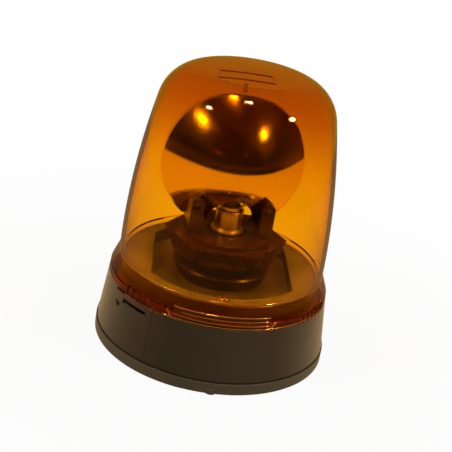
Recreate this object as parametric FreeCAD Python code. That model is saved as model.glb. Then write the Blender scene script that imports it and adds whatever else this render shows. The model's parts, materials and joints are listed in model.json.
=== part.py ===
"""Rotating beacon: amber twist-lock lens over a turning chromed reflector, on a round plastic base.

Millimetres, +Z up.  The origin is the centre of the underside of the rubber foot, on the lamp's
axis.  Azimuth 0 is the front (-Y), the side with the plain panel on the lens skirt, and azimuths
grow towards +X.
"""
import FreeCAD, Part
import math
import os

V = FreeCAD.Vector
UP = V(0, 0, 1)

# ---- foot and base housing ------------------------------------------------------------------
foot_r = 80.0               # outer radius of the rubber foot
foot_pad = 3.0              # thickness of the pad under the housing
foot_lip_height = 8.2       # top of the lip that wraps the housing
foot_lip = 2.0              # thickness of that lip
foot_inner_r = 50.0
foot_nub_r = 3.6            # locating nub on the lip, front and back
foot_nub_stand = 1.0
foot_nub_height = 3.6
foot_nub_azs = (0.0, 180.0)
housing_height = 41.7       # from the foot pad to the rim
housing_rim_inset = 4.8     # the rim is this much smaller than the foot
housing_foot_inset = 0.7    # the wall's lower end, just above the foot's lip
housing_wall = 2.8
housing_floor = 3.0
floor_bevel = 2.0           # where the wall meets the floor inside
fixing_pcd = 130.0          # three-bolt fixing
fixing_count = 3
fixing_first_az = 30.0
insert_bore_r = 2.5         # M6 thread, minor radius
insert_r = 4.0
insert_length = 12.0
boss_wall = 3.0
boss_cap = 3.0              # plastic above each insert
boss_gap = 0.6              # between the housing's bosses and the deck
foot_hole_r = 3.5
inlet_r = 6.0               # hole for the cable grommet in the floor
seam_az = -35.7             # mould seam
seam_start = 0.5            # above the foot's lip
seam_width = 0.45
seam_depth = 0.25

# ---- twist lock between lens and housing ----------------------------------------------------
lock_count = 2
lock_entry_az = -60.5       # middle of the entry notch
lock_entry_width = 8.0      # degrees
lock_end_az = -33.2         # end of the groove, where the lug stops
lock_lug_width = 5.5        # degrees
lock_drop = 7.2             # floor of the groove below the rim
lock_groove_height = 3.7
lock_reach = 3.0            # how far the groove's cut runs inside the wall
lock_web = 1.4              # housing wall left outside the groove
lock_window = (-56.6, -39.5)
lock_notch_depth = 2.0
arrow_height = 4.1
arrow_width = 6.1           # degrees
arrow_drop = 0.9            # below the groove
arrow_depth = 1.7

# ---- inner deck -----------------------------------------------------------------------------
deck_inset = 7.7            # the deck is this much smaller than the housing's rim
deck_rise = 13.9            # deck top above the rim
deck_wall = 2.4
deck_edge_round = 1.6
tray_half_width = 47.0
tray_inset = 10.5           # the tray is this much smaller than the deck
tray_depth = 8.6
deck_screw_inset = 6.3      # the two deck screws stand this far in from the deck's edge
deck_screw_azs = (0.0, 180.0)
deck_boss_r = 3.8
deck_boss_drop = 0.7        # joint between the deck's boss and the housing's column, below the rim
deck_pip_r = 1.4
deck_pip_az = 19.0
deck_pip_offset = 1.0       # the pips stand this much further out than the screws
seal_width = 2.3
seal_height = 3.2
seal_ledge = 2.4
seal_round = 0.6
seal_fit = 0.05

# ---- lens -----------------------------------------------------------------------------------
lens_gap = 0.3              # running gap between lens and housing rim
lens_wall = 2.6
lens_wall_inset = 4.9       # the side wall starts this much further in than the skirt
lens_wall_height = 18.3     # and this far above the lens's lower edge
lens_side_radius = 511.0    # slow curve of the side wall
lens_side_sweep = 12.13     # degrees
lens_corner_radius = 28.2
lens_crown_angle = 84.0     # slope at which the corner meets the crown
skirt_inset = 0.2           # the skirt is this much smaller than the housing's rim
skirt_height = 4.5
skirt_draft = 0.2
shoulder_height = 16.5
shoulder_fillet = 1.4
shoulder_step = 0.6         # the inside of the shoulder lies this much lower
skirt_round = 2.6
lens_deck_gap = 0.7         # between the lens's foot and the deck
lens_foot_height = 2.6
lug_clearance = 0.3
panel_half_az = 25.0
panel_height = 9.0
panel_dot_az = -6.7
panel_dot_height = 3.6
panel_dot_r = 1.3
panel_dot_sink = 0.4
rib_pitch = 3.9             # degrees
rib_groups = ((-54.7, 8), (43.5, 7))   # first azimuth and number of ribs
rib_r = 1.0
rib_height = 7.4
crown_pad = (37.0, 15.0)
crown_pad_centre = (-5.5, -15.5)
crown_pad_stand = 0.5
crown_pad_border = 1.6
gate_r = 1.4                # moulding gate under the crown
gate_place = (-6.0, -28.0)
gate_length = 5.0

# ---- gear train -----------------------------------------------------------------------------
gear_module = 1.0
gear_teeth = 60
pinion_teeth = 10
gear_backlash = 0.12        # taken off each tooth's thickness at the pitch circle
gear_centre_gap = 0.10      # centres stand this much further apart than the pitch circles touch
gear_width = 5.0
gear_lift = 1.6             # gear above the hub's lower end
gear_web = 0.7              # share of the width left between rim and hub
gear_rim_wall = 3.5
gear_hub_wall = 2.5
dedendum = 1.25             # of the module
pressure_angle = 20.0
motor_az = 150.0

# ---- pedestal, spindle and turntable --------------------------------------------------------
pedestal_r = 33.0           # at its top
pedestal_taper = 3.0        # how much smaller it is at the tray
pedestal_height = 9.5
pedestal_chamfer = 1.2
pedestal_groove = 1.0       # width and depth of the two grooves round it
pedestal_groove_heights = (3.2, 6.2)
pedestal_screw_azs = (-30.0, 90.0, 210.0)
pedestal_screw_r = 24.0
pedestal_wall = 2.4
post_wall = 3.0             # round the spindle
stud_wall = 1.0             # round the pedestal's screws
head_sink = 0.4             # screw heads lie this much below the pedestal's top
pedestal_screw_end = 1.5    # screw ends below the deck's tray
spindle_r = 8.0
spindle_bore_r = 5.0
bush_clearance = 0.05
bush_wall = 1.95
washer_thickness = 0.8
washer_r = 13.0
washer_fit = 0.1
hub_wall = 3.2
end_float = 0.3             # gap above and below the turning hub
hub_length = 19.4
turntable_height = 9.0
turntable_corner_r = 42.0
turntable_taper = 3.0       # how much smaller the hexagon is at its lower edge
turntable_plate = 3.0
turntable_rim_wall = 2.4
turntable_corner_az = 28.0
turntable_flange_r = 36.2   # round flange under the hexagon, above the gear
turntable_flange_drop = 2.2
turntable_flange_width = 5.8
clip_thickness = 0.8
clip_r = 10.6
clip_groove = 0.6
clip_mouth = 0.55           # half opening of the clip, as a share of the spindle's radius

# ---- lamp holder and bulb -------------------------------------------------------------------
insulator_height = 1.3
insulator_r = 11.6
insulator_stem = 9.0
insulator_floor = 1.2
holder_foot_r = 11.2
holder_foot_height = 1.6
holder_r = 9.2
holder_wall = 0.9
holder_height = 14.4        # foot to rim
holder_rim_r = 0.8          # rolled rim
holder_roll_out = 0.1
holder_flare = 0.8          # height over which the foot narrows to the cylinder
cap_stand = 4.6             # bulb's cap above the holder's foot
bulb_cap_r = 7.5
bulb_cap_height = 13.0
bulb_tip_r = 3.2
bulb_tip_height = 0.6
bulb_pin_r = 1.0
bulb_pin_span = 17.6
bulb_pin_height = 6.0       # above the cap's lower edge
bulb_glass_r = 13.2
bulb_glass_height = 38.0
bulb_wall = 0.8
cap_floor = 3.0
glass_fit = 0.1
neck_gap = 0.5              # straight neck showing above the cap
bulb_travel = 2.0           # push needed to free the bulb
filament_height = 33.0      # above the pins
filament_r = 0.6
filament_length = 7.0
lead_wire_r = 0.4
stem_r = 5.2                # glass stem inside the neck
stem_height = 10.0
stem_start = 2.0
slot_clearance = 0.3
contact_gap = 0.3
coil_gap = 0.02
plunger_r = 3.0
plunger_head = 1.4
plunger_stem_r = 1.4
plunger_stem_drop = 3.0     # its end below the insulator's flange
spring_wire_r = 0.35
spring_turns = 6
spring_r = 2.3
pocket_r = 3.5

# ---- reflector ------------------------------------------------------------------------------
reflector_az = 7.5          # azimuth that the back of the bowl faces at rest
reflector_focal = 19.0
reflector_rim_r = 48.6
reflector_wall = 1.4        # measured along the bowl's axis
reflector_lip = 1.0
reflector_lift = 7.0        # flat lower edge above the turntable
reflector_hole_gap = 1.6    # round the bulb
arm_spread = 24.0
arm_width = 9.0
arm_front = 11.8            # front face of the arms, ahead of the axis
arm_top = 27.0              # above the turntable
arm_seat_gap = 0.05
arm_heel = 1.0              # foot of each arm behind the bowl
bracket_ring_r = 31.0
bracket_ring_inner_r = 14.0
bracket_plate = 2.0
arm_rivet_height = 21.5
rivet_r = 1.2
rivet_head_r = 2.3
rivet_head = 1.2
rivet_tail = 0.8
rivet_tail_stand = 1.8      # clear of the bowl's curve
bracket_screw_spread = 22.5
thread_end_gap = 0.4

# ---- motor and wiring -----------------------------------------------------------------------
motor_r = 13.0
motor_length = 30.0
motor_round = 1.2
motor_floor = 4.0
motor_screw_depth = 3.0
motor_cap_height = 3.0
motor_cap_inset = 0.6
tab_size = (3.0, 1.2, 0.8)  # half length, half width, thickness
tab_spread = 4.0
motor_shaft_r = 1.5
motor_shaft_gap = 0.05
motor_shaft_end_gap = 0.3
motor_shaft_stand = 0.6     # past the pinion
shaft_hole_gap = 0.5
motor_screw_spread = 10.0
pinion_stand = 0.6          # pinion wider than the gear at each end
bulge_wall = 4.4
terminal_block = (14.0, 26.0, 12.0)
terminal_block_x = -34.0
terminal_screw_r = 2.4
terminal_screw_head = 3.2
terminal_slot = (0.8, 1.0)  # width and depth
terminal_well = 5.0
terminal_well_gap = 0.2
terminal_pitch = 8.5
lead_r = 0.9
lead_bend = 14.0
motor_lead_bend = 11.2
lead_shift = 0.75           # the motor's leads close up by this share of the tabs' spread
grommet_flange = 2.6
grommet_lip = 1.5
grommet_bore_r = 3.2

# ---- screws ---------------------------------------------------------------------------------
screw_head_r = 3.7
screw_head = 3.0
screw_r = 2.0
small_head_r = 2.3
small_head = 1.6
small_screw_r = 1.2
thread_bite = 10.0
screw_end_gap = 1.0
hole_clearance = 0.15
over = 1.0                  # how far a cutting solid runs past what it cuts

# ---- derived radii and heights --------------------------------------------------------------
housing_rim_z = foot_pad + housing_height
housing_rim_r = foot_r - housing_rim_inset
housing_foot_r = foot_r - housing_foot_inset
deck_r = housing_rim_r - deck_inset
tray_r = deck_r - tray_inset
deck_screw_r = deck_r - deck_screw_inset
skirt_r = housing_rim_r - skirt_inset
lens_wall_r = skirt_r - lens_wall_inset
lens_foot_inner_r = deck_r + lens_deck_gap
floor_top_z = foot_pad + housing_floor
lock_groove_z = housing_rim_z - lock_drop
deck_top_z = housing_rim_z + deck_rise
deck_boss_z = housing_rim_z - deck_boss_drop
tray_z = deck_top_z - tray_depth
pedestal_top_z = tray_z + pedestal_height
hub_bottom_z = pedestal_top_z + washer_thickness + end_float
gear_z = hub_bottom_z + gear_lift
turntable_top_z = hub_bottom_z + hub_length
clip_z = turntable_top_z + end_float
insulator_z = clip_z + clip_thickness + end_float
holder_z = insulator_z + insulator_height
holder_top_z = holder_z + holder_height
cap_z = holder_z + cap_stand
pin_z = cap_z + bulb_pin_height
focus_z = pin_z + filament_height
lens_z = housing_rim_z + lens_gap
lens_wall_z = lens_z + lens_wall_height
shoulder_z = lens_z + shoulder_height
gear_r = gear_module * gear_teeth / 2
pinion_r = gear_module * pinion_teeth / 2
motor_distance = gear_r + pinion_r + gear_centre_gap
hub_r = spindle_r + bush_clearance + bush_wall + hub_wall


def polar(r, az, z=0.0):
    """The point at radius r and azimuth az, in degrees from the front towards +X."""
    a = math.radians(az)
    return V(r * math.sin(a), -r * math.cos(a), z)


def cyl(r, z0, z1, x=0.0, y=0.0):
    return Part.makeCylinder(r, z1 - z0, V(x, y, z0))


def cyl_at(r, z0, z1, centre):
    return cyl(r, z0, z1, centre.x, centre.y)


def tube(r_in, r_out, z0, z1, x=0.0, y=0.0):
    return cyl(r_out, z0, z1, x, y).cut(cyl(r_in, z0 - over, z1 + over, x, y))


def box(x0, x1, y0, y1, z0, z1):
    return Part.makeBox(x1 - x0, y1 - y0, z1 - z0, V(x0, y0, z0))


def turned(shape, az):
    """A copy of shape, turned about the lamp's axis so that its front faces azimuth az."""
    copy = shape.copy()
    copy.rotate(V(0, 0, 0), UP, az)
    return copy


def spun(edges):
    """The solid of revolution of a closed chain of edges in the XZ plane."""
    wire = Part.Wire(Part.__sortEdges__(edges))
    return Part.Face(wire).revolve(V(0, 0, 0), UP, 360)


def polygon_edges(points):
    closed = list(points) + [points[0]]
    pairs = zip(closed, closed[1:])
    return [Part.makeLine(V(a[0], 0, a[1]), V(b[0], 0, b[1])) for a, b in pairs]


def revolved(points):
    """The solid of revolution of a polygon of (radius, height) points."""
    return spun(polygon_edges(points))


def sector(r_in, r_out, z0, z1, az0, az1):
    """A block of a ring between two azimuths."""
    points = [V(r_in, 0, z0), V(r_out, 0, z0), V(r_out, 0, z1), V(r_in, 0, z1), V(r_in, 0, z0)]
    face = Part.Face(Part.makePolygon(points))
    solid = face.revolve(V(0, 0, 0), UP, az1 - az0)
    return turned(solid, az0 - 90)


def fuse(shapes):
    first, *rest = shapes
    return first.multiFuse(rest).removeSplitter() if rest else first


def cut(shape, tools):
    return shape.cut(Part.makeCompound(tools)) if tools else shape


def round_edges(shape, radius, wanted):
    """Fillet the circular edges that lie at one of the wanted (radius, height) places."""
    edges = []
    for edge in circles(shape):
        for r, z in wanted:
            if abs(edge.Curve.Radius - r) < 0.02 and abs(edge.Curve.Center.z - z) < 0.02:
                edges.append(edge)
    return shape.makeFillet(radius, edges)


def circles(shape):
    """The circular edges of shape, leaving out the points where a surface meets the axis."""
    whole = [edge for edge in shape.Edges if not edge.Degenerated]
    return [edge for edge in whole if isinstance(edge.Curve, Part.Circle)]


def arc_edge(centre, radius, a0, a1):
    """An arc in the XZ plane about centre (r, z) from angle a0 to a1, in degrees above +X."""
    def at(a):
        t = math.radians(a)
        return V(centre[0] + radius * math.cos(t), 0, centre[1] + radius * math.sin(t))
    return Part.Arc(at(a0), at((a0 + a1) / 2), at(a1)).toShape()


def save(name, shape):
    shape.exportStep(f"parts/{name}.step")


def pan_screw(head_r, head, shank_r, length):
    """A pan-head screw hanging from z=0: domed head above, shank below, and a cross recess."""
    blank = cyl(head_r, 0, head)
    dome = blank.makeFillet(head * 0.6, [edge_at(blank, head)])
    shank = cyl(shank_r, -length, 0.1)
    slot = head_r * 0.24
    arm = head_r * 0.55
    depth = head * 0.5
    cross = [box(-arm, arm, -slot, slot, head - depth, head + over),
             box(-slot, slot, -arm, arm, head - depth, head + over)]
    return cut(fuse([dome, shank]), cross)


def edge_at(shape, z):
    """The circular edge of shape whose centre is at height z."""
    for edge in circles(shape):
        if abs(edge.Curve.Center.z - z) < 1e-6:
            return edge
    return None


def moved(shape, place):
    copy = shape.copy()
    copy.translate(place)
    return copy


# ---- foot and housing -----------------------------------------------------------------------
def fixing_azs():
    return [fixing_first_az + k * 360 / fixing_count for k in range(fixing_count)]


def foot_gasket():
    lip_in = foot_r - foot_lip
    body = revolved([(foot_inner_r, 0), (foot_r, 0), (foot_r, foot_lip_height),
                     (lip_in, foot_lip_height), (lip_in, foot_pad), (foot_inner_r, foot_pad)])
    body = round_edges(body, foot_lip * 0.35, [(foot_r, foot_lip_height), (foot_r, 0)])
    nubs = []
    for az in foot_nub_azs:
        nub = cyl_at(foot_nub_r, 0, foot_nub_height, polar(foot_r + foot_nub_stand - foot_nub_r, az))
        nubs.append(nub.cut(cyl(lip_in + foot_lip / 2, -over, foot_nub_height + over)))
    holes = [cyl_at(foot_hole_r, -over, foot_pad + over, polar(fixing_pcd / 2, az)) for az in fixing_azs()]
    return cut(fuse([body] + nubs), holes)


def housing_r(z):
    """Outer radius of the tapered housing wall at height z."""
    share = (z - foot_lip_height) / (housing_rim_z - foot_lip_height)
    return housing_foot_r + share * (housing_rim_r - housing_foot_r)


def lock_azs(az):
    return [az + k * 360 / lock_count for k in range(lock_count)]


def lock_cuts():
    """The entry notches, hidden grooves and moulding windows of the twist lock."""
    top = lock_groove_z + lock_groove_height
    groove_r = housing_r(top) - lock_web
    inner_r = housing_rim_r - housing_wall - lock_reach
    through_r = housing_foot_r + over
    half = lock_entry_width / 2
    cuts = []
    for turn in lock_azs(0):
        entry0 = lock_entry_az - half + turn
        entry1 = lock_entry_az + half + turn
        cuts += [
            sector(inner_r, groove_r, lock_groove_z, top, entry0, lock_end_az + turn),
            sector(inner_r, groove_r, lock_groove_z, housing_rim_z + over, entry0, entry1),
            sector(inner_r, through_r, housing_rim_z - lock_notch_depth, housing_rim_z + over,
                   entry0, entry1),
            sector(inner_r, through_r, lock_groove_z, top, lock_window[0] + turn,
                   lock_window[1] + turn)]
    return cuts


def arrow_cut():
    """A shallow triangle that points down from the entry notch."""
    z1 = lock_groove_z - arrow_drop
    z0 = z1 - arrow_height
    r = housing_r((z0 + z1) / 2)
    half = r * math.radians(arrow_width / 2)
    reach = housing_r(z0) + over
    depth_r = housing_r(z1) - arrow_depth
    points = [V(-half, -reach, z1), V(half, -reach, z1), V(0, -reach, z0), V(-half, -reach, z1)]
    prism = Part.Face(Part.makePolygon(points)).extrude(V(0, reach * 0.3, 0))
    prism = prism.cut(cyl(depth_r, z0 - over, z1 + over))
    return turned(prism, lock_entry_az)


def base_housing():
    skirt_in = foot_r - foot_lip - hole_clearance
    wall_in_top = housing_rim_r - housing_wall
    wall_in_foot = housing_foot_r - housing_wall
    body = revolved([(0, foot_pad), (skirt_in, foot_pad), (skirt_in, foot_lip_height),
                     (housing_foot_r, foot_lip_height), (housing_rim_r, housing_rim_z),
                     (wall_in_top, housing_rim_z), (wall_in_foot, floor_top_z + floor_bevel),
                     (wall_in_foot - floor_bevel, floor_top_z), (0, floor_top_z)])
    boss_r = insert_r + boss_wall
    boss_top = foot_pad + insert_length + boss_cap
    adds = [cyl_at(boss_r, foot_pad, boss_top, polar(fixing_pcd / 2, az)) for az in fixing_azs()]
    adds += [cyl_at(deck_boss_r, foot_pad, deck_boss_z, polar(deck_screw_r, az))
             for az in deck_screw_azs]
    cuts = [cyl_at(insert_r, foot_pad - over, foot_pad + insert_length, polar(fixing_pcd / 2, az))
            for az in fixing_azs()]
    cuts += [cyl_at(screw_r, deck_boss_z - thread_bite, deck_boss_z + over, polar(deck_screw_r, az))
             for az in deck_screw_azs]
    cuts.append(cyl(inlet_r, 0, floor_top_z + over))
    seam = box(-seam_width / 2, seam_width / 2, -housing_foot_r - over, -housing_rim_r + seam_depth,
               foot_lip_height + seam_start, housing_rim_z + over)
    slope = math.degrees(math.atan2(housing_foot_r - housing_rim_r, housing_rim_z - foot_lip_height))
    seam.rotate(V(0, -housing_rim_r, housing_rim_z), V(1, 0, 0), -slope)
    cuts.append(turned(seam, seam_az))
    return cut(fuse([body] + adds), cuts + lock_cuts() + [arrow_cut()])


def threaded_inserts():
    z0 = foot_pad
    pieces = []
    for az in fixing_azs():
        centre = polar(fixing_pcd / 2, az)
        pieces.append(tube(insert_bore_r, insert_r, z0, z0 + insert_length, centre.x, centre.y))
    return Part.makeCompound(pieces)


def cable_grommet():
    z0, z1 = foot_pad, floor_top_z
    return revolved([(grommet_bore_r, z0 - grommet_lip), (inlet_r + grommet_flange, z0 - grommet_lip),
                     (inlet_r + grommet_flange, z0), (inlet_r, z0), (inlet_r, z1),
                     (inlet_r + grommet_flange, z1), (inlet_r + grommet_flange * 0.6, z1 + grommet_lip),
                     (grommet_bore_r, z1 + grommet_lip)])


# ---- inner deck -----------------------------------------------------------------------------
def tray_block(margin, z0, z1):
    """The plan of the sunken tray, grown by margin: a round plate with two straight sides."""
    half = tray_half_width + margin
    r = tray_r + margin
    return cyl(r, z0, z1).common(box(-half, half, -r, r, z0, z1))


def motor_centre():
    return polar(motor_distance, motor_az)


def side_point(spread):
    """A point beside the motor's axis, at right angles to the line to the lamp's axis."""
    return motor_centre() + polar(1, motor_az + 90) * spread


def inner_deck():
    under_z = deck_top_z - deck_wall
    tray_under = tray_z - deck_wall
    drum = cyl(deck_r, floor_top_z, deck_top_z)
    drum = drum.makeFillet(deck_edge_round, [edge_at(drum, deck_top_z)])
    drum = drum.cut(cyl(deck_r - deck_wall, floor_top_z - over, under_z))
    ledge_z = housing_rim_z - seal_height
    ledge = tube(deck_r - deck_wall / 2, deck_r + seal_width, ledge_z - seal_ledge, ledge_z)
    bosses = [cyl_at(deck_boss_r, deck_boss_z, under_z + over, polar(deck_screw_r, az))
              for az in deck_screw_azs]
    bosses = [b.common(cyl(deck_r - deck_wall / 2, 0, deck_top_z)) for b in bosses]
    adds = [ledge, tray_block(deck_wall, tray_under, under_z + over)] + bosses
    cuts = [tray_block(0, tray_z, deck_top_z + over)]
    boss_r = insert_r + boss_wall + boss_gap
    boss_top = foot_pad + insert_length + boss_cap + boss_gap
    cuts += [cyl_at(boss_r, 0, boss_top, polar(fixing_pcd / 2, az)) for az in fixing_azs()]
    cuts += [cyl_at(screw_r + hole_clearance, deck_boss_z - over, deck_top_z + over, polar(deck_screw_r, az))
             for az in deck_screw_azs]
    cuts.append(cyl(spindle_r, tray_under - over, tray_z + over))
    cuts.append(cyl_at(motor_shaft_r + shaft_hole_gap, tray_under - over, tray_z + over, motor_centre()))
    cuts += [cyl_at(small_screw_r + hole_clearance, tray_under - over, tray_z + over, side_point(s))
             for s in (-motor_screw_spread, motor_screw_spread)]
    cuts += [cyl_at(small_screw_r, tray_under - over, tray_z + over, polar(pedestal_screw_r, az))
             for az in pedestal_screw_azs]
    deck = cut(fuse([drum] + adds), cuts)
    pips = [Part.makeSphere(deck_pip_r, polar(deck_screw_r + deck_pip_offset, az, deck_top_z))
            for az in (-deck_pip_az, deck_pip_az)]
    return fuse([deck] + pips)


def deck_screws():
    length = deck_top_z - deck_boss_z + thread_bite - screw_end_gap
    screw = pan_screw(screw_head_r, screw_head, screw_r, length)
    return Part.makeCompound([moved(screw, polar(deck_screw_r, az, deck_top_z))
                              for az in deck_screw_azs])


def lens_seal():
    z0 = housing_rim_z - seal_height
    ring = tube(deck_r + seal_fit, deck_r + seal_width, z0, housing_rim_z)
    return round_edges(ring, seal_round, [(deck_r + seal_width, housing_rim_z)])


# ---- lens -----------------------------------------------------------------------------------
def dome_arcs(inset):
    """The side, corner and crown arcs of the dome, all moved in by the same amount."""
    side_c = (lens_wall_r - lens_side_radius, lens_wall_z)
    sweep = math.radians(lens_side_sweep)
    reach = lens_side_radius - lens_corner_radius
    corner_c = (side_c[0] + reach * math.cos(sweep), side_c[1] + reach * math.sin(sweep))
    crown = math.radians(lens_crown_angle)
    crown_radius = lens_corner_radius + corner_c[0] / math.cos(crown)
    crown_c = (0.0, corner_c[1] - corner_c[0] * math.tan(crown))
    return [arc_edge(side_c, lens_side_radius - inset, 0, lens_side_sweep),
            arc_edge(corner_c, lens_corner_radius - inset, lens_side_sweep, lens_crown_angle),
            arc_edge(crown_c, crown_radius - inset, lens_crown_angle, 90)]


def crown_z(inset):
    return dome_arcs(inset)[-1].Vertexes[-1].Z


def skirt_break():
    """Where the skirt's upright face turns into the sloping shoulder."""
    return skirt_r - skirt_draft, lens_z + skirt_height


def lens_body():
    break_r, break_z = skirt_break()
    inner_r = lens_wall_r - lens_wall
    outer = [V(lens_foot_inner_r, 0, lens_z), V(skirt_r, 0, lens_z), V(break_r, 0, break_z),
             V(lens_wall_r, 0, shoulder_z), V(lens_wall_r, 0, lens_wall_z)]
    inner = [V(inner_r, 0, lens_wall_z), V(inner_r, 0, shoulder_z - shoulder_step),
             V(break_r - lens_wall, 0, break_z - shoulder_step),
             V(break_r - lens_wall, 0, lens_z + lens_foot_height),
             V(lens_foot_inner_r, 0, lens_z + lens_foot_height), V(lens_foot_inner_r, 0, lens_z)]
    lines = [Part.makeLine(a, b) for a, b in zip(outer, outer[1:])]
    lines += [Part.makeLine(a, b) for a, b in zip(inner, inner[1:])]
    top = Part.makeLine(V(0, 0, crown_z(lens_wall)), V(0, 0, crown_z(0)))
    body = spun(lines + dome_arcs(0) + dome_arcs(lens_wall) + [top])
    body = round_edges(body, shoulder_fillet, [(lens_wall_r, shoulder_z)])
    return round_edges(body, skirt_round, [(break_r, break_z)])


def lens_lugs():
    """Three tabs that hang inside the housing wall, each with a lug in the lock's groove."""
    tab_in = deck_r + seal_width + lug_clearance
    tab_out = housing_rim_r - housing_wall - lug_clearance
    top = lock_groove_z + lock_groove_height
    lug_r = housing_r(top) - lock_web - lug_clearance
    z0 = lock_groove_z + lug_clearance
    end = lock_end_az - math.degrees(lug_clearance / lug_r)
    pieces = []
    for turn in lock_azs(0):
        az0, az1 = end - lock_lug_width + turn, end + turn
        pieces.append(sector(tab_in, tab_out, z0, lens_z + over, az0, az1))
        pieces.append(sector(tab_in, lug_r, z0, top - lug_clearance, az0, az1))
    return pieces


def lens_ribs():
    """Grip ribs: half-round bars that run up the skirt and fade into the shoulder."""
    ribs = []
    for first, count in rib_groups:
        for k in range(count):
            az = first + k * rib_pitch
            centre = polar(skirt_r - rib_r * 0.35, az)
            ribs.append(cyl_at(rib_r, lens_z, lens_z + rib_height, centre))
    return [Part.makeCompound(ribs).cut(cyl(skirt_r - lens_wall / 2, lens_z - over, lens_z + rib_height + over))]


def lens_panel():
    """The plain raised panel at the front of the skirt, with one small moulded dot."""
    panel = sector(skirt_r - lens_wall, skirt_r, lens_z, lens_z + panel_height,
                   -panel_half_az, panel_half_az)
    dot = Part.makeSphere(panel_dot_r, polar(skirt_r - panel_dot_sink, panel_dot_az,
                                         lens_z + panel_dot_height))
    return [panel, dot]


def crown_frame():
    """A low rectangular frame that follows the crown, left bare inside."""
    outer = spun(dome_arcs(-crown_pad_stand)[2:] + crown_skin_lines())
    w, d = crown_pad
    x, y = crown_pad_centre
    z0, z1 = crown_z(lens_wall), crown_z(0) + crown_pad_stand + over
    plate = box(x - w / 2, x + w / 2, y - d / 2, y + d / 2, z0, z1)
    b = crown_pad_border
    window = box(x - w / 2 + b, x + w / 2 - b, y - d / 2 + b, y + d / 2 - b, z0, z1)
    return outer.common(plate.cut(window))


def crown_skin_lines():
    """Straight edges that close the outer crown arc into a thin cap, down to mid wall."""
    arc = dome_arcs(-crown_pad_stand)[2]
    a, b = arc.Vertexes[0].Point, arc.Vertexes[-1].Point
    low = a.z - lens_wall / 2 if a.z < b.z else b.z - lens_wall / 2
    corner = a if a.x > b.x else b
    apex = b if a.x > b.x else a
    return [Part.makeLine(corner, V(corner.x, 0, low)), Part.makeLine(V(corner.x, 0, low), V(0, 0, low)),
            Part.makeLine(V(0, 0, low), apex)]


def lens_dome():
    gate_top = crown_z(lens_wall) + lens_wall / 4
    gate = cyl(gate_r, crown_z(lens_wall) - gate_length, gate_top, *gate_place)
    return fuse([lens_body()] + lens_lugs() + lens_panel() + lens_ribs() + [crown_frame(), gate])


# ---- gear train -----------------------------------------------------------------------------
def involute(base_r, r):
    """Polar angle of the involute at radius r, measured from where it leaves the base circle."""
    ratio = max(r / base_r, 1.0)
    t = math.sqrt(ratio * ratio - 1)
    return t - math.atan(t)


def spur_gear(teeth, z0, z1, bore_r):
    """An involute spur gear with one tooth centred on +X."""
    pitch_r = gear_module * teeth / 2
    base_r = pitch_r * math.cos(math.radians(pressure_angle))
    tip_r = pitch_r + gear_module
    root_r = pitch_r - dedendum * gear_module
    half = math.pi / (2 * teeth) - gear_backlash / (2 * pitch_r)
    lean = involute(base_r, pitch_r)
    radii = [root_r, max(base_r, root_r), (pitch_r + tip_r) / 2, tip_r]
    points = []
    for k in range(teeth):
        middle = 2 * math.pi * k / teeth
        flank = [(r, half + lean - involute(base_r, r)) for r in radii]
        for r, a in [(r, -a) for r, a in flank] + [(r, a) for r, a in reversed(flank)]:
            points.append(V(r * math.cos(middle + a), r * math.sin(middle + a), z0))
    clean = [p for i, p in enumerate(points) if (p - points[i - 1]).Length > 1e-6]
    face = Part.Face(Part.makePolygon(clean + [clean[0]]))
    return face.extrude(V(0, 0, z1 - z0)).cut(cyl(bore_r, z0 - over, z1 + over))


def mesh_angle():
    """Direction from the lamp's axis to the motor's axis, in degrees above +X."""
    return motor_az - 90


def drive_gear():
    """The turntable's gear, with a tooth space turned towards the motor."""
    gear = spur_gear(gear_teeth, gear_z, gear_z + gear_width, hub_r)
    space = 180 / gear_teeth
    steps = round((mesh_angle() - space) * gear_teeth / 360)
    off = mesh_angle() - space - steps * 360 / gear_teeth
    web_z = gear_z + gear_width * gear_web
    root_r = gear_r - dedendum * gear_module
    recess = tube(hub_r + gear_hub_wall, root_r - gear_rim_wall, web_z, gear_z + gear_width + over)
    gear = gear.cut(recess)
    gear.rotate(V(0, 0, 0), UP, off)
    return gear


def pinion():
    """The motor's pinion, with a tooth turned towards the lamp's axis."""
    z0, z1 = gear_z - pinion_stand, gear_z + gear_width + pinion_stand
    gear = spur_gear(pinion_teeth, z0, z1, motor_shaft_r)
    gear.rotate(V(0, 0, 0), UP, mesh_angle() + 180)
    return moved(gear, motor_centre())


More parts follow.
